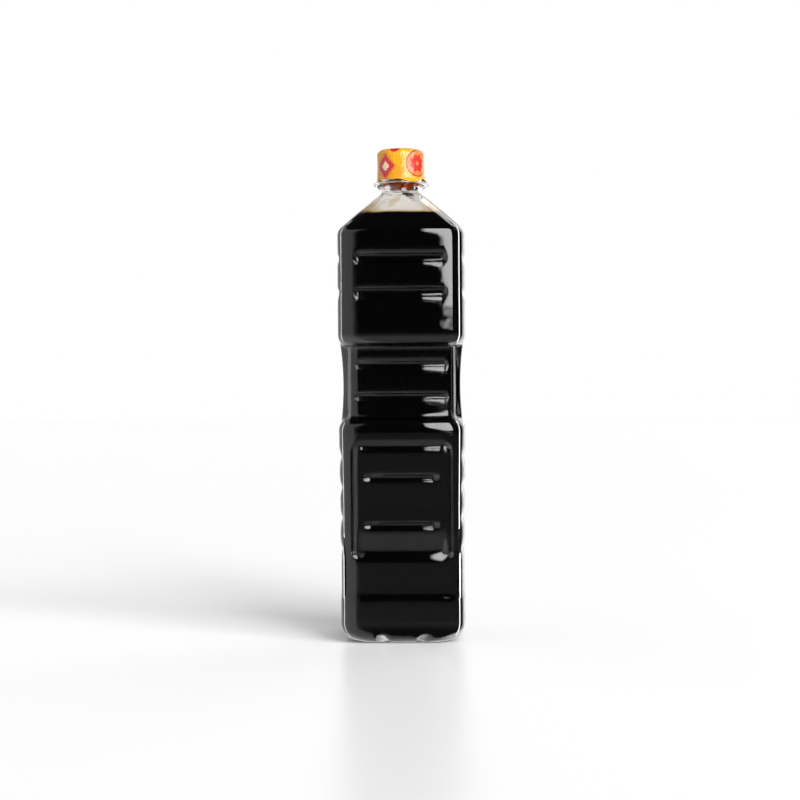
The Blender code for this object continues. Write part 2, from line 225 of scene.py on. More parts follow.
class Board:
    """A node tree with short calls that add nodes to it and link them."""

    def __init__(self, tree: bpy.types.NodeTree) -> None:
        """Keep the tree that the nodes go into."""
        self.tree = tree

    def put(self, kind: str, **settings: object) -> bpy.types.Node:
        """Add a node and set its plain properties.

        Args:
            kind: Blender's name for the node type.
            **settings: the node's properties by name.

        Returns:
            The node.
        """
        node = self.tree.nodes.new(kind)
        for name, value in settings.items():
            setattr(node, name, value)
        return node

    def join(self, source: object, target: bpy.types.NodeSocket) -> None:
        """Link a socket to the target, or set the target to a plain number or colour."""
        if isinstance(source, bpy.types.NodeSocket):
            self.tree.links.new(source, target)
        elif isinstance(source, tuple) and target.type == "RGBA":
            target.default_value = (*source, 1.0)
        else:
            target.default_value = source

    def work(self, operation: str, first: object, second: object = 0.0) -> bpy.types.NodeSocket:
        """Do one sum on numbers or sockets.

        Args:
            operation: Blender's name for it, such as ADD or ARCTAN2.
            first: a number or a socket.
            second: the other one, where there is one.

        Returns:
            The result's socket.
        """
        node = self.put("ShaderNodeMath", operation=operation)
        self.join(first, node.inputs[0])
        self.join(second, node.inputs[1])
        return node.outputs[0]

    def total(self, *parts: object) -> bpy.types.NodeSocket:
        """Add several numbers or sockets together."""
        result = parts[0]
        for part in parts[1:]:
            result = self.work("ADD", result, part)
        return result

    def line(self, value: object, slope: float, start: float) -> bpy.types.NodeSocket:
        """The value times slope, plus start."""
        node = self.put("ShaderNodeMath", operation="MULTIPLY_ADD")
        for part, socket in zip((value, slope, start), node.inputs):
            self.join(part, socket)
        return node.outputs[0]

    def rise(self, value: object, low: float, high: float) -> bpy.types.NodeSocket:
        """A smooth step of value: 0 at low, 1 at high (low may be the larger)."""
        node = self.put("ShaderNodeMapRange", interpolation_type="SMOOTHSTEP")
        self.join(value, node.inputs["Value"])
        if low < high:
            limits = (low, high, 0.0, 1.0)
        else:
            limits = (high, low, 1.0, 0.0)
        for name, limit in zip(("From Min", "From Max", "To Min", "To Max"), limits):
            node.inputs[name].default_value = limit
        return node.outputs["Result"]

    def window(self, value: object, low: float, high: float, soft: float) -> bpy.types.NodeSocket:
        """1 where value lies between low and high, falling to 0 over a soft edge."""
        after = self.rise(value, low - soft, low + soft)
        before = self.rise(value, high + soft, high - soft)
        return self.work("MULTIPLY", after, before)

    def inside(self, value: object, limit: float, soft: float) -> bpy.types.NodeSocket:
        """1 where value is below a limit, falling to 0 over a soft edge."""
        return self.rise(value, limit + soft, limit - soft)

    def blend(self, share: object, under: object, over: object) -> bpy.types.NodeSocket:
        """Mix two colours: under where share is 0, over where it is 1."""
        node = self.put("ShaderNodeMix", data_type="RGBA")
        self.join(share, node.inputs[0])
        self.join(under, node.inputs[6])
        self.join(over, node.inputs[7])
        return node.outputs[2]

    def place(self) -> bpy.types.NodeSocket:
        """The point's place on the piece, in metres."""
        return self.put("ShaderNodeTexCoord").outputs["Object"]

    def split(self, vector: object) -> tuple:
        """The three parts of a vector."""
        node = self.put("ShaderNodeSeparateXYZ")
        self.join(vector, node.inputs[0])
        return tuple(node.outputs)

    def noise(self, vector: object, scale: float, detail: float = 2.0) -> bpy.types.NodeSocket:
        """Smooth noise from 0 to 1, with scale in bumps to a metre."""
        node = self.put("ShaderNodeTexNoise")
        self.join(vector, node.inputs["Vector"])
        node.inputs["Scale"].default_value = scale
        node.inputs["Detail"].default_value = detail
        return node.outputs["Fac"]


def unevenness_group() -> bpy.types.NodeTree:
    """Handling marks and moulding ripples, shared by the plastic and the film.

    Returns:
        A group with sockets Scale and Height in, and Haze (0 to 1) and Ripple (0 to 1) out.
    """
    made = bpy.data.node_groups.new("surface unevenness", "ShaderNodeTree")
    for name, start in (("Scale", 60.0), ("Height", 1.0)):
        socket = made.interface.new_socket(name, in_out="INPUT", socket_type="NodeSocketFloat")
        socket.default_value = start
    for name in ("Haze", "Ripple"):
        made.interface.new_socket(name, in_out="OUTPUT", socket_type="NodeSocketFloat")
    board = Board(made)
    given = board.put("NodeGroupInput")
    results = board.put("NodeGroupOutput")
    marks = board.put("ShaderNodeTexNoise")
    board.join(board.place(), marks.inputs["Vector"])
    board.join(given.outputs["Scale"], marks.inputs["Scale"])
    marks.inputs["Detail"].default_value = 4.0
    board.join(board.rise(marks.outputs["Fac"], 0.42, 0.72), results.inputs["Haze"])
    swell = board.noise(board.place(), 110.0, 1.0)
    board.join(board.work("MULTIPLY", swell, given.outputs["Height"]), results.inputs["Ripple"])
    return made


# Finishes


def new_finish(name: str) -> tuple[bpy.types.Material, Board, bpy.types.Node]:
    """A new material, the board of its tree, and its shader."""
    made = bpy.data.materials.new(name)
    made.use_nodes = True
    return made, Board(made.node_tree), made.node_tree.nodes["Principled BSDF"]


@dataclass(frozen=True)
class ClearPlastic:
    """Blown clear plastic: a little warm, glossy, with faint ripples from the mould."""

    tint: Colour = (0.955, 0.935, 0.905)
    ior: float = 1.57
    roughness: float = 0.02
    haze: float = 0.03
    ripple_scale: float = 70.0
    ripple_height: float = 0.00006

    def make(self, group: bpy.types.NodeTree) -> bpy.types.Material:
        """Build the material.

        Args:
            group: the shared unevenness group.

        Returns:
            The material.
        """
        made, board, shader = new_finish("clear plastic")
        board.join(self.tint, shader.inputs["Base Color"])
        shader.inputs["Metallic"].default_value = 0.0
        shader.inputs["Transmission Weight"].default_value = 1.0
        shader.inputs["IOR"].default_value = self.ior
        marks = board.put("ShaderNodeGroup", node_tree=group)
        marks.inputs["Scale"].default_value = self.ripple_scale
        board.join(board.line(marks.outputs["Haze"], self.haze, self.roughness), shader.inputs["Roughness"])
        bump = board.put("ShaderNodeBump")
        bump.inputs["Distance"].default_value = self.ripple_height
        board.join(marks.outputs["Ripple"], bump.inputs["Height"])
        board.join(bump.outputs["Normal"], shader.inputs["Normal"])
        return made


@dataclass(frozen=True)
class WettedWall:
    """The inside of the wall where oil lies against it, where no light is turned back."""

    def make(self) -> bpy.types.Material:
        """Build the material, which lets all light by."""
        made = bpy.data.materials.new("wetted wall")
        made.use_nodes = True
        nodes = made.node_tree.nodes
        nodes.clear()
        passing = nodes.new("ShaderNodeBsdfTransparent")
        passing.inputs["Color"].default_value = (1.0, 1.0, 1.0, 1.0)
        output = nodes.new("ShaderNodeOutputMaterial")
        made.node_tree.links.new(passing.outputs[0], output.inputs["Surface"])
        return made


@dataclass(frozen=True)
class DarkOil:
    """Pressed seed oil: black in the bottle, red-brown where thin, tan as a film."""

    clear_share: Colour = (0.86, 0.76, 0.52)
    density: float = 1000.0
    ior: float = 1.15

    def make(self) -> bpy.types.Material:
        """Build the material: a clear surface round a volume that takes up light."""
        made, board, shader = new_finish("dark oil")
        board.join((1.0, 1.0, 1.0), shader.inputs["Base Color"])
        shader.inputs["Metallic"].default_value = 0.0
        shader.inputs["Roughness"].default_value = 0.0
        shader.inputs["Transmission Weight"].default_value = 1.0
        shader.inputs["IOR"].default_value = self.ior
        depth = board.put("ShaderNodeVolumeAbsorption")
        board.join(self.clear_share, depth.inputs["Color"])
        depth.inputs["Density"].default_value = self.density
        output = made.node_tree.nodes["Material Output"]
        board.join(depth.outputs[0], output.inputs["Volume"])
        return made


@dataclass(frozen=True)
class FilmLayout:
    """Where the film's marks stand: millimetres round from the front, and up from its foot."""

    medallions: tuple = ((11.6, 10.0), (-36.0, 9.0))
    diamonds: tuple = ((-10.4, 8.2), (35.0, 8.2))
    edge_marks: tuple = (-4.0, 21.0, -23.0, 45.0)
    edge_height: float = 20.6


@dataclass(frozen=True)
class FilmChart:
    """The film's coordinates in its material: millimetres round and up, and the plain place."""

    board: Board
    across: bpy.types.NodeSocket
    up: bpy.types.NodeSocket
    place: bpy.types.NodeSocket

    def from_mark(self, across: float, up: float) -> tuple:
        """Way round, way up and distance from a mark's middle, in millimetres."""
        side = self.board.work("SUBTRACT", self.across, across)
        rise = self.board.work("SUBTRACT", self.up, up)
        squares = (self.board.work("MULTIPLY", side, side), self.board.work("MULTIPLY", rise, rise))
        return side, rise, self.board.work("SQRT", self.board.total(*squares))


@dataclass(frozen=True)
class PrintedFilm:
    """Shrunk yellow film with plain round and diamond marks in orange, red and white."""

    yellow: Colour = (0.62, 0.285, 0.002)
    amber: Colour = (0.40, 0.135, 0.003)
    orange: Colour = (0.62, 0.14, 0.035)
    red: Colour = (0.40, 0.018, 0.016)
    brown: Colour = (0.13, 0.018, 0.008)
    pale: Colour = (0.82, 0.52, 0.40)
    yellow_share: float = 0.6
    fading_scale: float = 90.0
    ring_radius: float = 8.2
    rays: float = 8.0
    ray_reach: float = 0.7
    diamond_edge: float = 8.6
    diamond_field: float = 7.1
    diamond_middle: float = 3.6
    diamond_squat: float = 0.9
    scallop_beat: float = 2.4
    scallop_depth: float = 0.5
    ragged_scale: float = 500.0
    raggedness: float = 1.2
    edge_mark_radius: float = 3.8
    roughness: float = 0.22
    haze: float = 0.16
    haze_scale: float = 160.0
    ior: float = 1.5
    glow_through: float = 0.5
    glow_radius: Colour = (1.0, 0.5, 0.2)
    glow_scale: float = 0.0006
    crease_scale: float = 420.0
    crease_height: float = 0.00018

    def make(self, group: bpy.types.NodeTree, layout: FilmLayout) -> bpy.types.Material:
        """Build the material from marks placed in millimetres round and up the film.

        Args:
            group: the shared unevenness group.
            layout: where the marks stand.

        Returns:
            The material.
        """
        made, board, shader = new_finish("printed film")
        round_film, up_film, _ = board.split(board.put("ShaderNodeUVMap", uv_map="film").outputs["UV"])
        chart = FilmChart(board, round_film, up_film, board.place())
        fading = board.rise(board.noise(chart.place, self.fading_scale, 3.0), 0.3, 0.75)
        colour = board.blend(fading, self.amber, self.yellow)
        colour = board.blend(self.yellow_share, colour, self.yellow)
        for across, up in layout.medallions:
            colour = self.medallion(chart, colour, across, up)
        for across, up in layout.diamonds:
            colour = self.diamond(chart, colour, across, up)
        for across in layout.edge_marks:
            _, _, away = chart.from_mark(across, layout.edge_height)
            colour = board.blend(board.inside(away, self.edge_mark_radius, 0.6), colour, self.red)
        board.join(colour, shader.inputs["Base Color"])
        marks = board.put("ShaderNodeGroup", node_tree=group)
        marks.inputs["Scale"].default_value = self.haze_scale
        board.join(board.line(marks.outputs["Haze"], self.haze, self.roughness), shader.inputs["Roughness"])
        shader.inputs["IOR"].default_value = self.ior
        shader.inputs["Subsurface Weight"].default_value = self.glow_through
        shader.inputs["Subsurface Radius"].default_value = self.glow_radius
        shader.inputs["Subsurface Scale"].default_value = self.glow_scale
        bump = board.put("ShaderNodeBump")
        bump.inputs["Distance"].default_value = self.crease_height
        board.join(board.noise(chart.place, self.crease_scale, 3.0), bump.inputs["Height"])
        board.join(bump.outputs["Normal"], shader.inputs["Normal"])
        return made

    def medallion(self, chart: FilmChart, under: object, across: float, up: float) -> bpy.types.NodeSocket:
        """A round mark: dark rim, orange field and a red eight-rayed middle.

        Args:
            chart: the film's coordinates.
            under: the colour below the mark.
            across: the mark's middle round the film.
            up: the mark's middle up the film.

        Returns:
            The colour with the mark on it.
        """
        board = chart.board
        size = self.ring_radius
        side, rise, away = chart.from_mark(across, up)
        turn = board.work("ARCTAN2", rise, side)
        colour = board.blend(board.inside(away, size + 0.2, 0.3), under, self.brown)
        colour = board.blend(board.inside(away, size - 0.55, 0.35), colour, self.orange)
        beat = board.work("COSINE", board.work("MULTIPLY", turn, self.rays))
        edge = board.work("ADD", away, board.work("MULTIPLY", beat, self.ray_reach))
        colour = board.blend(board.inside(edge, size * 0.62, size * 0.06), colour, self.red)
        return board.blend(board.inside(away, size * 0.15, size * 0.05), colour, self.orange)

    def diamond(self, chart: FilmChart, under: object, across: float, up: float) -> bpy.types.NodeSocket:
        """A scalloped diamond: a red field with an orange edge round a pale middle.

        Args:
            chart: the film's coordinates.
            under: the colour below the mark.
            across: the mark's middle round the film.
            up: the mark's middle up the film.

        Returns:
            The colour with the mark on it.
        """
        board = chart.board
        side, rise = (board.work("ABSOLUTE", way) for way in chart.from_mark(across, up)[:2])
        crossing = board.work("MULTIPLY", board.work("SUBTRACT", side, rise), self.scallop_beat)
        scallop = board.work("MULTIPLY", board.work("COSINE", crossing), self.scallop_depth)
        ragged = board.work("MULTIPLY", board.noise(chart.place, self.ragged_scale), self.raggedness)
        away = board.total(side, board.work("MULTIPLY", rise, self.diamond_squat), scallop, ragged)
        colour = board.blend(board.inside(away, self.diamond_edge, 0.6), under, self.orange)
        colour = board.blend(board.inside(away, self.diamond_field, 0.5), colour, self.red)
        return board.blend(board.inside(away, self.diamond_middle, 0.8), colour, self.pale)


@dataclass(frozen=True)
class LightPanel:
    """One lit part of the room: a window of direction seen from the bottle.

    Azimuth is measured from the camera, to the right, and elevation from the horizon. The
    radiance goes in a straight line from its full value at azimuth_from to the share
    end_share of it at azimuth_to. A second edge stands at foot_azimuth on the horizon and
    leans slant degrees of azimuth outward with each degree of elevation.
    """

    azimuth_from: float
    azimuth_to: float
    elevation_from: float
    elevation_to: float
    radiance: float
    end_share: float = 1.0
    soft: float = 1.0
    soft_height: float = 2.0
    slant: float = 0.0
    foot_azimuth: float = -180.0

    def lit_part(self, board: Board, azimuth: object, elevation: object) -> bpy.types.NodeSocket:
        """The panel's own radiance in a direction, and nothing outside its window.

        Args:
            board: the tree that the nodes go into.
            azimuth: the direction's azimuth in degrees.
            elevation: the direction's elevation in degrees.

        Returns:
            The radiance.
        """
        across = board.window(azimuth, self.azimuth_from, self.azimuth_to, self.soft)
        tall = board.window(elevation, self.elevation_from, self.elevation_to, self.soft_height)
        leaning = board.work("ADD", azimuth, board.work("MULTIPLY", elevation, self.slant))
        edge = board.rise(leaning, self.foot_azimuth - self.soft, self.foot_azimuth + self.soft)
        along = board.put("ShaderNodeMapRange")
        board.join(azimuth, along.inputs["Value"])
        along.inputs["From Min"].default_value = self.azimuth_from
        along.inputs["From Max"].default_value = self.azimuth_to
        along.inputs["To Min"].default_value = self.radiance
        along.inputs["To Max"].default_value = self.radiance * self.end_share
        window = board.work("MULTIPLY", board.work("MULTIPLY", across, tall), edge)
        return board.work("MULTIPLY", window, along.outputs["Result"])


def room_group(panels: tuple, ambient: float, camera_azimuth: float) -> bpy.types.NodeTree:
    """The room's light by direction, shared by the world and the floor.

    Args:
        panels: the room's lit parts.
        ambient: radiance between them.
        camera_azimuth: where the camera stands, in degrees from the bottle's front.

    Returns:
        A group with socket Direction in, and Glow, Azimuth and Elevation (both in degrees) out.
    """
    made = bpy.data.node_groups.new("room by direction", "ShaderNodeTree")
    made.interface.new_socket("Direction", in_out="INPUT", socket_type="NodeSocketVector")
    for name in ("Glow", "Azimuth", "Elevation"):
        made.interface.new_socket(name, in_out="OUTPUT", socket_type="NodeSocketFloat")
    board = Board(made)
    given = board.put("NodeGroupInput")
    results = board.put("NodeGroupOutput")
    unit_length = board.put("ShaderNodeVectorMath", operation="NORMALIZE")
    board.join(given.outputs["Direction"], unit_length.inputs[0])
    side, depth, up = board.split(unit_length.outputs[0])
    turn = board.work("ARCTAN2", side, board.work("MULTIPLY", depth, -1.0))
    azimuth = board.work("SUBTRACT", board.work("DEGREES", turn), camera_azimuth)
    elevation = board.work("DEGREES", board.work("ARCSINE", up))
    lit = [panel.lit_part(board, azimuth, elevation) for panel in panels]
    board.join(board.total(ambient, *lit), results.inputs["Glow"])
    board.join(azimuth, results.inputs["Azimuth"])
    board.join(elevation, results.inputs["Elevation"])
    return made


@dataclass(frozen=True)
class Backdrop:
    """The white sweep behind the bottle, as far as its shine or its clear parts show it."""

    azimuth_from: float
    azimuth_full: float
    elevation_full: float
    elevation_end: float

    def share(self, board: Board, azimuth: object, elevation: object) -> bpy.types.NodeSocket:
        """1 in directions that meet the backdrop, falling to 0 over its soft edges."""
        behind = board.rise(board.work("ABSOLUTE", azimuth), self.azimuth_from, self.azimuth_full)
        low = board.rise(board.work("ABSOLUTE", elevation), self.elevation_end, self.elevation_full)
        return board.work("MULTIPLY", behind, low)


@dataclass(frozen=True)
class PaleFloor:
    """A pale studio floor with a slight sheen.

    In the bottle's shine the floor is a painted glow: it carries on what stands at its horizon, its own glow
    rises with the steepness of the look at it, and a painted shadow makes it weak close round the bottle.
    """

    colour: Colour = (0.86, 0.86, 0.86)
    roughness: float = 0.30
    sheen: float = 0.30
    glow_flat: float = 0.11
    glow_steep: float = 0.5
    sine_flat: float = 0.05
    sine_steep: float = 0.45
    sine_horizon: float = -0.06
    shade_from: float = 0.040
    shade_to: float = 0.120
    shade_share: float = 0.05

    def make(self, room: bpy.types.NodeTree, backdrop: Backdrop) -> bpy.types.Material:
        """Build the material: a pale surface, and in shine a painted glow by place and direction.

        Args:
            room: the shared group that gives the room's light by direction.
            backdrop: the white sweep, as the shine shows it.

        Returns:
            The material.
        """
        made, board, shader = new_finish("pale floor")
        board.join(self.colour, shader.inputs["Base Color"])
        shader.inputs["Roughness"].default_value = self.roughness
        shader.inputs["Specular IOR Level"].default_value = self.sheen
        # painted reflection: glossy rays see this emission in place of the lit floor
        shine = board.put("ShaderNodeEmission")
        board.join(self.glow(board, room, backdrop), shine.inputs["Strength"])
        rays = board.put("ShaderNodeLightPath")
        mixed = board.put("ShaderNodeMixShader")
        board.join(rays.outputs["Is Glossy Ray"], mixed.inputs[0])
        board.join(shader.outputs[0], mixed.inputs[1])
        board.join(shine.outputs[0], mixed.inputs[2])
        board.join(mixed.outputs[0], made.node_tree.nodes["Material Output"].inputs["Surface"])
        made.cycles.emission_sampling = "NONE"
        return made

    def glow(self, board: Board, room: bpy.types.NodeTree, backdrop: Backdrop) -> bpy.types.NodeSocket:
        """The floor's painted radiance in the bottle's shine, with a painted shadow close round the bottle.
        """
        side, depth, _ = board.split(board.place())
        square = board.total(board.work("MULTIPLY", side, side), board.work("MULTIPLY", depth, depth))
        away = board.work("SQRT", square)
        # painted shadow: the shine's glow is dimmed close round the bottle's foot
        clear = board.rise(away, self.shade_from, self.shade_to)
        painted_shade = board.line(clear, 1.0 - self.shade_share, self.shade_share)
        incoming = board.put("ShaderNodeNewGeometry").outputs["Incoming"]
        steepness = board.rise(board.split(incoming)[2], self.sine_flat, self.sine_steep)
        lit = board.line(steepness, self.glow_steep - self.glow_flat, self.glow_flat)
        onward = board.put("ShaderNodeVectorMath", operation="SCALE")
        board.join(incoming, onward.inputs[0])
        onward.inputs["Scale"].default_value = -1.0
        level = board.put("ShaderNodeVectorMath", operation="MAXIMUM")
        board.join(onward.outputs[0], level.inputs[0])
        level.inputs[1].default_value = (-1.0, -1.0, self.sine_horizon)
        horizon = board.put("ShaderNodeGroup", node_tree=room)
        board.join(level.outputs[0], horizon.inputs["Direction"])
        own = board.work("ADD", board.work("MULTIPLY", lit, painted_shade), horizon.outputs["Glow"])
        behind = backdrop.share(board, horizon.outputs["Azimuth"], horizon.outputs["Elevation"])
        return board.work("MAXIMUM", own, behind)


# The bottle


@dataclass(frozen=True)
class Grooves:
    """The grooves of one size in a face: their heights on the bottle, and the size of each."""

    levels: tuple
    height: float
    depth: float
    half_length: float
    floor: float = 1.35

    def bands(self) -> list[tuple[float, float]]:
        """The height range of each groove."""
        return [(level - self.height / 2.0, level + self.height / 2.0) for level in self.levels]

    def press(
        self, along: np.ndarray, height: np.ndarray, longer: float | np.ndarray = 0.0
    ) -> np.ndarray:
        """How far the grooves, which have round ends, press the face in.

        The depth is a smooth step of the distance from the nearest groove's middle line: none
        at its edge, and full over its floor, which is the wider the more floor is above 1.

        Args:
            along: place along the face from its middle.
            height: height on the bottle.
            longer: what is added to the half length at each place.

        Returns:
            The depth for each place.
        """
        past_end = np.maximum(np.abs(along) - (self.half_length + longer - self.height / 2.0), 0.0)
        nearest = np.min([np.abs(height - level) for level in self.levels], axis=0)
        offset = np.hypot(past_end, nearest)
        return self.depth * smooth_step(self.floor * (1.0 - offset / (self.height / 2.0)))


@dataclass
class Bottle:
    """The blown shell: a loft of rounded squares with its relief pressed in, and its neck."""

    neck_radius: float = 0.0126
    bore_radius: float = 0.0116
    mouth_radius: float = 0.0132
    mouth_height: float = 0.3040
    ring_radius: float = 0.0175
    ring_foot: float = 0.2808
    ring_edge: float = 0.2842
    ring_edge_height: float = 0.0010
    ring_top: float = 0.2867
    ring_top_radius: float = 0.0148
    upper_half: float = 0.0397
    waist_half: float = 0.0335
    lower_top_half: float = 0.0395
    lower_half: float = 0.0388
    lower_taper_end: float = 0.0850
    corner: float = 0.0102
    waist_corner: float = 0.0065
    corner_blend: float = 0.0040
    shoulder_top: float = 0.2795
    shoulder_foot: float = 0.2535
    neck_fillet: float = 0.0030
    shoulder_fillet: float = 0.0070
    ledge_fillet: float = 0.0075
    ledge_inner_fillet: float = 0.0020
    waist_inner_fillet: float = 0.0040
    block_fillet: float = 0.0090
    waist_top: float = 0.1848
    waist_top_inner: float = 0.1818
    waist_bottom_inner: float = 0.1393
    waist_bottom: float = 0.1355
    base_radius: float = 0.0125
    foot_inner_half: float = 0.0190
    push_up_half: float = 0.0110
    push_up: float = 0.0060
    push_up_centre: float = 0.0070
    upper_grooves: Grooves = Grooves((0.2362, 0.2151), 0.0068, 0.0020, 0.0288, floor=1.9)
    side_groove_extra: float = 0.0047
    waist_grooves: Grooves = Grooves((0.1712, 0.1515), 0.0052, 0.0014, 0.0288)
    panel_top: float = 0.1252
    panel_bottom: float = 0.0499
    panel_half_width: float = 0.0312
    panel_corner: float = 0.0075
    channel_side_wall: float = 0.0010
    channel_top_wall: float = 0.0043
    channel_foot_wall: float = 0.0074
    channel_inner_wall: float = 0.0023
    channel_depth: float = 0.0012
    lean_top: float = 0.0700
    lean_half_width: float = 0.0285
    lean_edge: float = 0.0040
    panel_grooves: Grooves = Grooves((0.1018, 0.0728), 0.0050, 0.0013, 0.0226)
    top_notch: float = 0.1146
    rib_pitch: float = 0.0188
    notch_count: int = 4
    rib_depth: float = 0.0015
    rib_half_length: float = 0.0350
    rib_fade: float = 0.0050
    rib_crease: float = 0.0020
    grip_half_width: float = 0.0205
    grip_blend: float = 0.0050
    grip_middle: float = 0.1580
    grip_waist_half: float = 0.0365
    grip_end_half: float = 0.0377
    grip_reach: float = 0.0215
    grip_overrun: float = 0.0030
    notch_offset: float = 0.0143
    notch_half_width: float = 0.0042
    notch_height: float = 0.0060
    inset_top: float = 0.0575
    inset_top_inner: float = 0.0520
    inset_foot_inner: float = 0.0335
    inset_foot: float = 0.0238
    inset_depth: float = 0.0005
    wall: float = 0.00045
    foot_wall: float = 0.0008
    oil_level: float = 0.2650
    row_pitch: float = 0.0023
    fine_pitch: float = 0.0006
    wetted_height: float = 0.0040
    arc_steps: int = 7
    crown_start: float = 0.0100
    crown_depth: float = 0.00075
    ring_root: float = 0.0003
    ring_root_height: float = 0.0002
    ring_fillet: float = 0.0004
    ring_top_fillet: float = 0.0005
    lip_depth: float = 0.0020
    neck_pitch: float = 0.0040
    neck_arc_steps: int = 3

    def outline(self) -> np.ndarray:
        """Half width and height of every row of the body, from the foot up to the neck.

        The bent line's own rows are joined by closely set ones wherever some face has relief.

        Returns:
            An array of (half width, height) rows.
        """
        corners = (
            (self.foot_inner_half, 0.0, 0.0),
            (self.lower_half, 0.0, self.base_radius),
            (self.lower_half, self.lower_taper_end, 0.0),
            (self.lower_top_half, self.waist_bottom, self.block_fillet),
            (self.waist_half, self.waist_bottom_inner, self.waist_inner_fillet),
            (self.waist_half, self.waist_top_inner, self.ledge_inner_fillet),
            (self.upper_half, self.waist_top, self.ledge_fillet),
            (self.upper_half, self.shoulder_foot, self.shoulder_fillet),
            (self.neck_radius, self.shoulder_top, self.neck_fillet),
            (self.neck_radius, self.ring_foot, 0.0),
        )
        rows = rounded_line(corners, self.row_pitch, self.arc_steps)
        rising = rows[rows[:, 1] > 0.0]
        grid = np.arange(self.base_radius, self.shoulder_top, self.fine_pitch)[:, None]
        low, high = np.array(self.fine_bands()).T
        wanted = ((grid > low) & (grid < high)).any(axis=1)
        apart = np.abs(grid - rising[:, 1]).min(axis=1) > self.fine_pitch / 2.0
        extra = grid[wanted & apart, 0]
        fine = np.stack((np.interp(extra, rising[:, 1], rising[:, 0]), extra), axis=-1)
        merged = np.vstack((rising, fine))
        return np.vstack((rows[rows[:, 1] <= 0.0], merged[np.argsort(merged[:, 1])]))

    def notches(self) -> np.ndarray:
        """Heights of the notches between the lower sides' ribs."""
        return self.top_notch - self.rib_pitch * np.arange(self.notch_count)

    def fine_bands(self) -> list[tuple[float, float]]:
        """Height ranges that hold relief or the oil's edge, so that they need close rows."""
        bands = [(level - self.rib_crease, level + self.rib_crease) for level in self.notches()]
        for grooves in (self.upper_grooves, self.waist_grooves, self.panel_grooves):
            bands += grooves.bands()
        bands.append((self.panel_top - self.channel_top_wall - self.channel_inner_wall, self.panel_top))
        bands.append((self.panel_bottom, self.inset_top))
        bands.append((self.inset_foot, self.inset_foot_inner))
        bands.append((self.oil_level - self.fine_pitch, self.oil_level + self.wetted_height))
        return bands

    def columns(self) -> tuple[np.ndarray, np.ndarray]:
        """Each column's face, 0 to 3 from the right side round, and its angle on that face.

        The places along a face are close together at the panel's channel and at the corner.

        Returns:
            The face numbers, and the angles in radians.
        """
        bends = (0.0, 0.0226, 0.0278, 0.0316, 0.0358)
        counts = (12, 6, 9, 4)
        places = [np.linspace(low, high, count, endpoint=False)
                  for low, high, count in zip(bends[:-1], bends[1:], counts)]
        angles = np.arctan2(np.concatenate(places), self.lower_half)
        past = np.linspace(math.atan2(bends[-1], self.lower_half), math.pi / 4.0, 3)
        half_face = np.concatenate((angles, past))
        one_face = np.concatenate((-half_face[:0:-1], half_face[:-1]))
        faces = np.repeat(np.arange(4), len(one_face))
        return faces, np.tile(one_face, 4)

    def corner_at(self, half: np.ndarray, height: np.ndarray) -> np.ndarray:
        """Corner radius of the section: round at neck and foot, tighter at the waist.

        Args:
            half: each row's half width.
            height: each row's height.

        Returns:
            The radius for each row.
        """
        below = smooth_step((self.waist_top - height) / self.corner_blend)
        above = smooth_step((height - self.waist_bottom) / self.corner_blend)
        to_neck = smooth_step((height - self.shoulder_foot) / (self.shoulder_top - self.shoulder_foot))
        corner = self.corner + (self.waist_corner - self.corner) * below * above
        corner = corner + (self.neck_radius - self.corner) * to_neck
        at_foot = height < self.base_radius
        corner = corner + np.where(at_foot, (half - corner) * (1.0 - half / self.lower_half), 0.0)
        return np.minimum(corner, half)

    def section(self, angle: np.ndarray, half: np.ndarray, corner: np.ndarray) -> np.ndarray:
        """Distance from the axis to a rounded square's edge in a direction within 45 degrees.

        On the flat it is half / cos; on the corner's arc, with f = half - corner, it solves
        r * r - 2 r f (cos + sin) + 2 f * f = corner * corner for its larger root.

        Args:
            angle: from the middle of the face, in radians.
            half: half width of the square.
            corner: radius of its corners.

        Returns:
            The distance for each row and column.
        """
        sine = np.abs(np.sin(angle))
        flat = half - corner
        reach = half / np.cos(angle)
        middle = (np.cos(angle) + sine) * flat
        inside = np.maximum(middle * middle - 2.0 * flat * flat + corner * corner, 0.0)
        return np.where(sine * reach <= flat, reach, middle + np.sqrt(inside))

    def panel(self, along: np.ndarray, height: np.ndarray) -> np.ndarray:
        """Depth of the lower panel's channel, its grooves and its leaning foot.

        The channel follows the distance into a rounded rectangle. Its outer wall is steep at
        the sides and gentle at the ends, going from one to the other by the square of how far
        the nearest edge point faces up or down.
        """
        centre = (self.panel_top + self.panel_bottom) / 2.0
        past_side = np.abs(along) - (self.panel_half_width - self.panel_corner)
        straight_end = (self.panel_top - self.panel_bottom) / 2.0 - self.panel_corner
        past_end = np.abs(height - centre) - straight_end
        beyond = np.hypot(np.maximum(past_side, 0.0), np.maximum(past_end, 0.0))
        within = self.panel_corner - beyond - np.minimum(np.maximum(past_side, past_end), 0.0)
        endward = (np.maximum(past_end, 0.0) / np.maximum(beyond, 1e-9)) ** 2
        end_wall = np.where(height > centre, self.channel_top_wall, self.channel_foot_wall)
        wall = self.channel_side_wall + (end_wall - self.channel_side_wall) * endward
        edge = smooth_step(within / wall)
        channel = edge * (1.0 - smooth_step((within - wall) / self.channel_inner_wall))
        lean_foot = self.panel_bottom + self.channel_foot_wall
        lean = np.clip((self.lean_top - height) / (self.lean_top - lean_foot), 0.0, 1.0)
        lean = lean * smooth_step((self.lean_half_width - np.abs(along)) / self.lean_edge)
        depth = np.maximum(channel, lean * edge) * self.channel_depth
        return np.maximum(depth, self.panel_grooves.press(along, height))

    def ribs(self, along: np.ndarray, height: np.ndarray) -> np.ndarray:
        """Depth of the lower sides between their ribs: the cube of nearness to a notch."""
        nearest = np.abs(height[..., None] - self.notches()).min(axis=-1)
        from_crown = np.maximum(1.0 - nearest / (self.rib_pitch / 2.0), 0.0)
        fade = smooth_step((self.rib_half_length - np.abs(along)) / self.rib_fade)
        return self.rib_depth * from_crown**3 * fade

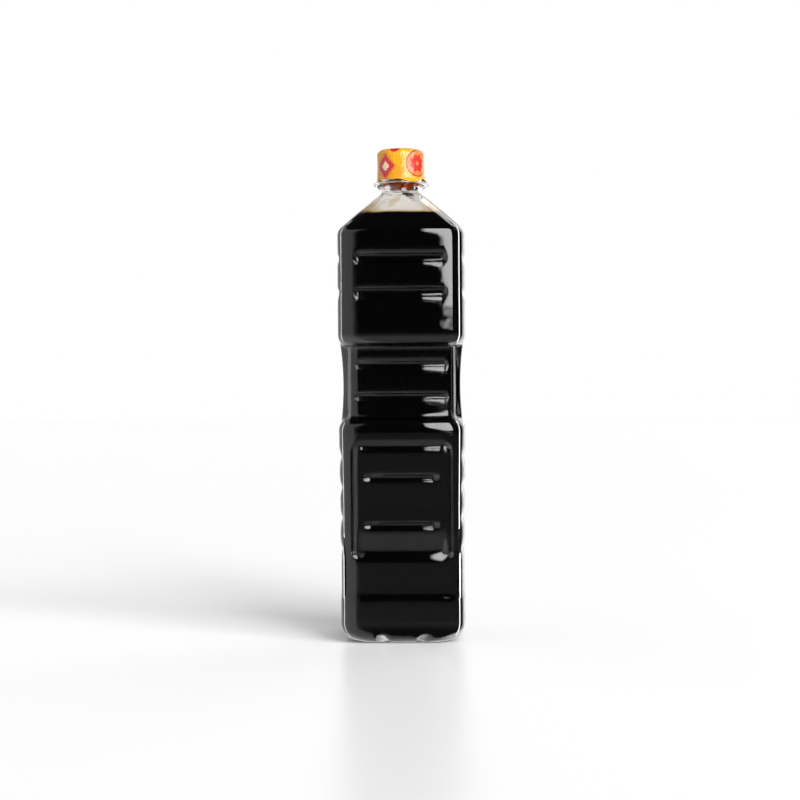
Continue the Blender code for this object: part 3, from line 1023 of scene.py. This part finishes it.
    def grip(self, along: np.ndarray, height: np.ndarray, half: np.ndarray) -> np.ndarray:
        """How far the upright grip stands out of the waist's sides, by a parabola in height."""
        share = (height - self.grip_middle) / self.grip_reach
        standing = self.grip_waist_half + (self.grip_end_half - self.grip_waist_half) * share * share
        edge = (self.grip_half_width + self.grip_blend - np.abs(along)) / self.grip_blend
        above_foot = height > self.waist_bottom - self.grip_overrun
        below_top = height < self.waist_top + self.grip_overrun
        push = np.maximum(standing - half, 0.0) * smooth_step(edge)
        return np.where(above_foot & below_top, push, 0.0)

    def crown(self, along: np.ndarray, height: np.ndarray) -> np.ndarray:
        """How far a face falls away from its middle: the square of the way past crown_start."""
        reach = self.upper_half - self.corner - self.crown_start
        past = np.maximum(np.abs(along) - self.crown_start, 0.0) / reach
        body = smooth_step((self.shoulder_top - height) / (self.shoulder_top - self.shoulder_foot))
        return self.crown_depth * past * past * body

    def inset(self, side: np.ndarray, height: np.ndarray) -> np.ndarray:
        """How far a face is set in above the base: smooth steps in at the top, out at the foot.

        On the front and back the upper step runs along the leaning part of the panel.
        """
        top = np.where(side, self.inset_top, self.lean_top)
        top_inner = np.where(side, self.inset_top_inner, self.panel_bottom + self.channel_foot_wall)
        from_top = smooth_step((top - height) / (top - top_inner))
        from_foot = smooth_step((height - self.inset_foot) / (self.inset_foot_inner - self.inset_foot))
        return self.inset_depth * from_top * from_foot

    def body_rings(self) -> np.ndarray:
        """Every point of the body's outside, foot to neck, with its relief pressed in.

        A point starts on the rounded square, moves in along its face's own direction by the
        relief, and at the feet's notches moves up. The face's turn about Z comes last.

        Returns:
            Points as (row, column, xyz).
        """
        rows = self.outline()
        half, height = rows[:, :1], rows[:, 1:]
        faces, angle = self.columns()
        reach = self.section(angle[None, :], half, self.corner_at(half, height))
        out = reach * np.cos(angle)
        along = reach * np.sin(angle)
        level = np.broadcast_to(height, out.shape)
        wide = np.broadcast_to(half, out.shape)
        side = np.broadcast_to(faces % 2 == 0, out.shape)
        moved = out - self.crown(along, level)
        longer = np.where(side, self.side_groove_extra, 0.0)
        moved = moved - self.upper_grooves.press(along, level, longer)
        moved = moved - np.where(side, 0.0, self.waist_grooves.press(along, level))
        moved = moved - self.inset(side, level)
        moved = moved - np.where(side, self.ribs(along, level), self.panel(along, level))
        moved = moved + np.where(side, self.grip(along, level, wide), 0.0)
        offset = np.abs(np.abs(along / out) * self.lower_half - self.notch_offset)
        lift = smooth_step(1.0 - offset / self.notch_half_width) * (self.notch_height - level)
        foot = (level < self.notch_height) & (out > self.foot_inner_half - self.row_pitch)
        level = level + np.where(foot, lift, 0.0)
        turn = faces * math.pi / 2.0
        x = moved * np.cos(turn) - along * np.sin(turn)
        y = moved * np.sin(turn) + along * np.cos(turn)
        return np.stack((x, y, level), axis=-1)

    def circles(self, profile: np.ndarray) -> np.ndarray:
        """Turn a profile of (radius, height) rows round the axis on the body's columns."""
        faces, angle = self.columns()
        turn = faces * math.pi / 2.0 + angle
        x = profile[:, :1] * np.cos(turn)
        y = profile[:, :1] * np.sin(turn)
        return np.stack((x, y, np.broadcast_to(profile[:, 1:], x.shape)), axis=-1)

    def neck_profile(self) -> np.ndarray:
        """The outside from the neck over the support ring and up to the mouth's inner edge."""
        corners = (
            (self.neck_radius + self.ring_root, self.ring_foot + self.ring_root_height, 0.0),
            (self.ring_radius, self.ring_edge, self.ring_fillet),
            (self.ring_radius, self.ring_edge + self.ring_edge_height, self.ring_fillet),
            (self.ring_top_radius, self.ring_top, self.ring_top_fillet),
            (self.mouth_radius, self.ring_top, 0.0),
            (self.mouth_radius, self.mouth_height, self.ring_fillet),
            (self.bore_radius, self.mouth_height, self.ring_fillet),
            (self.bore_radius, self.mouth_height - self.lip_depth, 0.0),
        )
        return rounded_line(corners, self.neck_pitch, self.neck_arc_steps)

    def wall_at(self, height: np.ndarray) -> np.ndarray:
        """Wall thickness at a height: thin in the body, thicker at the foot and the neck."""
        to_neck = smooth_step((height - self.shoulder_foot) / (self.shoulder_top - self.shoulder_foot))
        to_foot = smooth_step((self.notch_height * 2.0 - height) / (self.notch_height * 2.0))
        neck_wall = self.neck_radius - self.bore_radius
        return self.wall + (neck_wall - self.wall) * to_neck + (self.foot_wall - self.wall) * to_foot

    def inner_rings(self, outer: np.ndarray, reach: float = 0.0) -> np.ndarray:
        """The inside of the body's wall: every second row of the outside, moved in.

        Above the oil's level every row is kept.

        Args:
            outer: the body's outside.
            reach: how far the surface lies into the wall from its inner face.

        Returns:
            Points as (row, column, xyz), foot to neck.
        """
        depth = self.wall_at(outer[..., 2:]) - reach
        above = outer[:, 0, 2] - self.oil_level
        kept = (np.arange(len(outer)) % 2 == 0) | (above > -self.fine_pitch)
        return (outer - grid_normals(outer) * depth)[kept]

    def make(self, clear: bpy.types.Material, wet: bpy.types.Material) -> bpy.types.Object:
        """Build the shell and dress it.

        Args:
            clear: the plastic.
            wet: the finish of inner faces that oil lies against.

        Returns:
            The bottle's object.
        """
        body = self.body_rings()
        inside = self.inner_rings(body)
        below_ring = inside[inside[:, 0, 2] < self.ring_foot - self.fine_pitch]
        push = self.circles(np.array(((self.push_up_half, self.push_up),)))
        push_inside = push + np.array((0.0, 0.0, self.foot_wall))
        bore_ends = (self.ring_top, self.ring_foot)
        bore = self.circles(np.array([(self.bore_radius, level) for level in bore_ends]))
        neck = self.circles(self.neck_profile())
        rings = np.concatenate((push, body, neck, bore, below_ring[::-1], push_inside))
        centre = np.array((0.0, 0.0, self.push_up_centre))
        made = closed_surface("bottle_shell", rings, centre, centre + np.array((0.0, 0.0, self.foot_wall)))
        made.data.materials.append(clear)
        made.data.materials.append(wet)
        columns = rings.shape[1]
        first_inner = len(rings) - len(below_ring) - 1
        row_heights = rings[:, :, 2].max(axis=1)
        row_of_quad = np.repeat(np.arange(len(rings) - 1), columns)
        is_wet = (row_of_quad >= first_inner) & (row_heights[row_of_quad] < self.oil_level)
        sides = np.where(is_wet, Wall.WET.value, Wall.DRY.value)
        under, floor = np.full(columns, Wall.DRY.value), np.full(columns, Wall.WET.value)
        kinds = np.concatenate((under, sides, floor)).astype(np.int32)
        made.data.polygons.foreach_set("material_index", kinds)
        made.data.update()
        return made


@dataclass
class Oil:
    """The oil, its curved edge and the thin film that it leaves on the shoulder's wall."""

    bottle: Bottle
    into_wall: float = 0.00005
    film_height: float = 0.0115
    film_thickness: float = 0.0007
    film_side: float = 0.0110
    film_side_width: float = 0.0055
    film_middle_share: float = 0.05
    film_least_share: float = 0.02
    film_raggedness: float = 0.35
    film_wave: float = 0.012
    edge_thickness: float = 0.0034
    edge_reach: float = 0.0007
    surface_rings: tuple = (0.97, 0.9, 0.75, 0.5, 0.2)
    surface_level_share: float = 0.85

    def film_at(self, above: np.ndarray, side: np.ndarray) -> np.ndarray:
        """Thickness of the film at a height above the level and a distance to the side.

        It thins in a straight line to nothing, mostly past film_side, with a rim at the level
        that falls off by e every edge_reach.
        """
        outward = smooth_step((np.abs(side) - self.film_side) / self.film_side_width)
        sideward = self.film_middle_share + (1.0 - self.film_middle_share) * outward
        upward = np.maximum(1.0 - above / self.film_height, self.film_least_share)
        thin = self.film_thickness * upward * sideward
        rim = self.edge_thickness * np.exp(-above / self.edge_reach)
        return thin + rim

    def make(self, finish: bpy.types.Material) -> bpy.types.Object:
        """Build the oil and dress it.

        Args:
            finish: the oil's material.

        Returns:
            The oil's object.
        """
        bottle = self.bottle
        outer = bottle.body_rings()
        sides = bottle.inner_rings(outer, self.into_wall)
        sides = sides[sides[:, :, 2].mean(axis=1) < bottle.ring_foot - bottle.fine_pitch]
        heights = sides[:, :, 2].mean(axis=1)
        above = sides[heights > bottle.oil_level]
        drop = self.film_at(above[..., 2:] - bottle.oil_level, above[..., :1])
        unevenness = waves(above[..., 0], above[..., 1], self.film_wave, seed=5)[..., None]
        ragged = 1.0 + self.film_raggedness * unevenness
        back = above - grid_normals(sides)[heights > bottle.oil_level] * drop * ragged
        last = back[0]
        surface = []
        for share in self.surface_rings:
            ring = last.copy()
            ring[:, :2] *= share
            climb = max(share - self.surface_level_share, 0.0) / (1.0 - self.surface_level_share)
            ring[:, 2] = bottle.oil_level + (last[:, 2] - bottle.oil_level) * climb
            surface.append(ring)
        lift = bottle.foot_wall - self.into_wall
        push = bottle.circles(np.array(((bottle.push_up_half, bottle.push_up + lift),)))
        rings = np.concatenate((push, sides, back[::-1], np.array(surface)))
        lowest = np.array((0.0, 0.0, bottle.push_up_centre + lift))
        made = closed_surface("oil_filling", rings, lowest, np.array((0.0, 0.0, bottle.oil_level)))
        made.data.materials.append(finish)
        return made


@dataclass
class Cap:
    """The screw cap and the printed film shrunk over it."""

    height: float = 0.3065
    radius: float = 0.0151
    foot: float = 0.2870
    edge: float = 0.0036
    middle: float = 0.0010
    film: float = 0.00012
    columns: int = 288
    row_pitch: float = 0.0005
    arc_steps: int = 9
    pleat: float = 0.00010
    ripple_wave: float = 0.0021
    ripple_round: float = 1.6
    ripple_down: float = 0.35
    ripple_share: float = 0.15
    slow_wave: float = 0.009
    slow_share: float = 0.8
    hang: float = 0.0007
    hang_circle: float = 0.02
    hang_wave: float = 0.011
    lobe: float = 0.0018
    lobe_turn: float = 292.0
    lobe_half_width: float = 0.62
    rim_reach: float = 0.0020
    foot_reach: float = 0.0022
    flare_height: float = 0.0006
    flare: float = 0.9

    def film_rings(self) -> np.ndarray:
        """The film's outside from its crown down to its ragged foot, wrinkled.

        The profile is a disc, a quarter round and an upright wall. Wrinkles are plane waves
        round and down the film, strongest at the rim and the foot, and the foot hangs lower on
        the right, over the bottle's ring.

        Returns:
            Points as (row, column, xyz), from the top down.
        """
        corners = (
            (self.middle, self.height, 0.0),
            (self.radius, self.height, self.edge),
            (self.radius, self.foot, 0.0),
        )
        profile = rounded_line(corners, self.row_pitch, self.arc_steps)
        turn = np.linspace(0.0, 2.0 * math.pi, self.columns, endpoint=False)
        radius = np.broadcast_to(profile[:, :1], (len(profile), self.columns))
        level = np.broadcast_to(profile[:, 1:], radius.shape)
        circle = (np.cos(turn) * self.hang_circle, np.sin(turn) * self.hang_circle)
        hang = self.hang * waves(*circle, self.hang_wave, seed=21)
        from_lobe = np.abs(turn - math.radians(self.lobe_turn)) / self.lobe_half_width
        hang = hang + self.lobe * smooth_step(1.0 - from_lobe)
        stretch = (self.height - self.edge - level) / (self.height - self.edge - self.foot)
        level = level - np.maximum(stretch, 0.0) ** 3 * hang[None, :]
        rim = np.exp(-(((level - self.height + self.edge * 0.6) / self.rim_reach) ** 2))
        foot = np.exp(-(((level - self.foot) / self.foot_reach) ** 2))
        share = np.clip(radius / self.radius, 0.0, 1.0)
        way = turn[None, :] * self.radius
        ripple = waves(way * self.ripple_round, level * self.ripple_down, self.ripple_wave, seed=8)
        slow = waves(way, level, self.slow_wave, seed=13) * self.slow_share
        push = self.pleat * share * (ripple * (self.ripple_share + rim + foot) + slow)
        over_ring = np.maximum(self.foot + self.flare_height - level, 0.0)
        out = radius + push + over_ring * self.flare
        x = out * np.cos(turn)
        y = out * np.sin(turn)
        return np.stack((x, y, level + push * (1.0 - share) * 0.5), axis=-1)

    def make_film(self, finish: bpy.types.Material) -> bpy.types.Object:
        """Build the film, with its chart in millimetres round and up, and dress it.

        Args:
            finish: the printed film's material.

        Returns:
            The film's object.
        """
        outside = self.film_rings()
        inside = outside + grid_normals(outside) * self.film
        rings = np.concatenate((inside, outside[::-1]))
        top = np.array((0.0, 0.0, self.height))
        made = closed_surface("cap_film", rings, top - np.array((0.0, 0.0, self.film)), top)
        made.data.materials.append(finish)
        chart = made.data.uv_layers.new(name="film")
        corners = np.empty(len(made.data.loops), np.int32)
        made.data.loops.foreach_get("vertex_index", corners)
        places = np.empty(len(made.data.vertices) * 3, np.float32)
        made.data.vertices.foreach_get("co", places)
        places = places.reshape(-1, 3)[corners]
        turn = np.arctan2(places[:, 0], -places[:, 1])
        side = np.hypot(places[:, 0], places[:, 1])
        up = places[:, 2] - self.foot + np.maximum(self.radius - self.edge - side, 0.0)
        flat = np.stack((turn * self.radius, up), axis=-1) * 1000.0
        chart.data.foreach_set("uv", flat.astype(np.float32).ravel())
        return made


# Studio


@dataclass
class Studio:
    """The camera, the room's light and the floor."""

    azimuth: float = 1.3
    distance: float = 1.10
    camera_height: float = 0.161
    lens: float = 78.37
    horizon_row: float = 380.9
    roll: float = 0.37
    axis_column: float = 402.55
    image: float = 800.0
    sensor: float = 36.0
    ambient: float = 0.03
    fill: float = 0.54
    ceiling: float = 0.2
    ceiling_from: float = 56.0
    ceiling_full: float = 64.0
    panels: tuple = field(default_factory=lambda: (
        LightPanel(-142.0, -12.7, -90.0, 55.0, 0.95, end_share=0.8, soft=1.5),
        LightPanel(0.0, 32.0, 2.1, 60.0, 8.0, soft=0.9, soft_height=0.4, slant=0.22, foot_azimuth=6.6),
        LightPanel(80.5, 89.5, -2.0, 60.0, 1.0, soft_height=0.8),
        LightPanel(119.0, 164.0, -12.0, 55.0, 2.5, soft=2.0),
    ))
    key: LightPanel = LightPanel(18.0, 62.0, 4.0, 40.0, 12.0, soft=4.0, soft_height=4.0)
    shine_backdrop: Backdrop = Backdrop(138.0, 144.0, 22.0, 30.0)
    clear_backdrop: Backdrop = Backdrop(140.0, 150.0, 40.0, 50.0)

    def camera(self) -> None:
        """Make the camera at the photograph's angle, level, with a small shift for its framing."""
        data = bpy.data.cameras.new("camera")
        data.sensor_width = self.sensor
        data.lens = self.lens
        data.shift_x = (self.image / 2.0 - self.axis_column) / self.image
        data.shift_y = (self.horizon_row - self.image / 2.0) / self.image
        data.clip_start = 0.02
        data.clip_end = 20.0
        made = bpy.data.objects.new("camera", data)
        turn = math.radians(self.azimuth)
        made.location = (self.distance * math.sin(turn), -self.distance * math.cos(turn), self.camera_height)
        made.rotation_euler = (math.radians(90.0), math.radians(self.roll), turn)
        bpy.context.scene.collection.objects.link(made)
        bpy.context.scene.camera = made

    def light(self, room: bpy.types.NodeTree) -> None:
        """Light the room by direction: white to the camera, panels to all that it falls on.

        Args:
            room: the shared group that gives the room's light by direction.
        """
        world = bpy.data.worlds.new("studio")
        bpy.context.scene.world = world
        world.use_nodes = True
        board = Board(world.node_tree)
        background = world.node_tree.nodes["Background"]
        around = board.put("ShaderNodeGroup", node_tree=room)
        board.join(board.put("ShaderNodeTexCoord").outputs["Generated"], around.inputs["Direction"])
        glow, azimuth, elevation = tuple(around.outputs)
        above = board.rise(elevation, self.ceiling_from, self.ceiling_full)
        overhead = board.work("MULTIPLY", above, self.ceiling)
        key = self.key.lit_part(board, azimuth, elevation)
        strength = board.total(board.work("MULTIPLY", glow, self.fill), overhead, key)
        shine = board.work("MAXIMUM", glow, self.shine_backdrop.share(board, azimuth, elevation))
        through = board.work("MAXIMUM", glow, self.clear_backdrop.share(board, azimuth, elevation))
        rays = board.put("ShaderNodeLightPath")
        choices = (("Is Glossy Ray", shine), ("Is Transmission Ray", through), ("Is Camera Ray", 1.0))
        for kind, radiance in choices:
            chosen = board.put("ShaderNodeMix", data_type="FLOAT")
            board.join(rays.outputs[kind], chosen.inputs[0])
            board.join(strength, chosen.inputs[2])
            board.join(radiance, chosen.inputs[3])
            strength = chosen.outputs[0]
        board.join(strength, background.inputs["Strength"])
        board.join((1.0, 1.0, 1.0), background.inputs["Color"])

    def floor(self, finish: bpy.types.Material, half: float = 6.0) -> bpy.types.Object:
        """Make the floor under the bottle.

        Args:
            finish: the floor's material.
            half: half its side.

        Returns:
            The floor's object.
        """
        corners = np.array(((-half, -half, 0.0), (half, -half, 0.0), (half, half, 0.0), (-half, half, 0.0)))
        mesh = bpy.data.meshes.new("floor")
        mesh.from_pydata(corners.tolist(), [], [(0, 1, 2, 3)])
        mesh.materials.append(finish)
        made = bpy.data.objects.new("floor", mesh)
        bpy.context.scene.collection.objects.link(made)
        return made


def settle(piece: bpy.types.Object, slot: Slot, *nodes: str) -> None:
    """Tie a finished piece to the body, hide the nodes it stands for, and log its faces and its material
    slot.

    Args:
        piece: the finished object.
        slot: the record's slot that it takes its finish from.
        *nodes: the CAD nodes that it replaces.
    """
    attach(piece, BODY)
    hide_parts(*nodes)
    LOG.info("%s: %d faces, slot %s", piece.name, len(piece.data.polygons), slot.value)


def main() -> None:
    """Build the studio, the bottle, its oil and its cap."""
    logging.basicConfig(level=logging.INFO, format="%(name)s: %(message)s")
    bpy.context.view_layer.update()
    bpy.context.scene.view_settings.view_transform = "Standard"
    studio = Studio()
    studio.camera()
    room = room_group(studio.panels, studio.ambient, studio.azimuth)
    studio.light(room)
    studio.floor(PaleFloor().make(room, studio.shine_backdrop))
    group = unevenness_group()
    bottle = Bottle()
    settle(bottle.make(ClearPlastic().make(group), WettedWall().make()), Slot.CLEAR, "bottle")
    settle(Oil(bottle).make(DarkOil().make()), Slot.OIL, "oil")
    settle(Cap().make_film(PrintedFilm().make(group, FilmLayout())), Slot.FILM, "cap")
    bpy.context.view_layer.update()


if __name__ == "__main__":
    main()
